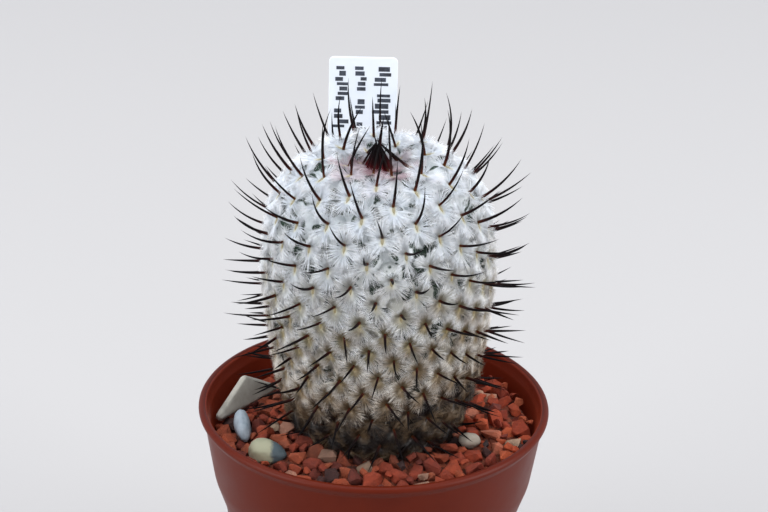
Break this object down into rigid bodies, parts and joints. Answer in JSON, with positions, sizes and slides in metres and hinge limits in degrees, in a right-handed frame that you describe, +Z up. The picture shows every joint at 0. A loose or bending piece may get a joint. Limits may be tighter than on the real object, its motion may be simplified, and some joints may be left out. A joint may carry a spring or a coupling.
{
  "type": "potted mammillaria cactus",
  "caption": "Small round-column cactus with white star-shaped radial spines and dark central spines, in a tapered red-brown nursery pot with crushed-stone dressing and a plain plant label.",
  "frame": {"origin": "on the surface that the pot stands on, under the centre of the pot", "axes": "+Z up; +X to the right and +Y to the back as seen from the front, where the label stands behind the plant"},
  "size_m": [0.055, 0.055, 0.1003],
  "materials": {
    "pot_plastic": "moulded red-brown polypropylene, satin, slightly scuffed",
    "potting_mix": "dark crumbly mineral potting mix",
    "red_stone": "matt crushed brick and lava stone, dusty",
    "cactus": "fine white radial spines over green tubercles, with dark brown central spines",
    "label_plastic": "white polystyrene sheet, satin",
    "white_stone": "pale, finely pitted",
    "two_tone_stone": "cream and blue-grey, broken faces",
    "pale_stone": "pale greenish grey, dusty"
  },
  "bodies": {
    "root": {"pot": "pot_plastic", "potting_mix": "potting_mix", "top_dressing": "red_stone", "cactus": "cactus", "label": "label_plastic", "stone_white_oblong": "white_stone", "stone_two_tone": "two_tone_stone", "stone_pale_flake": "pale_stone", "stone_pale_right": "pale_stone"}
  },
  "joints": []
}
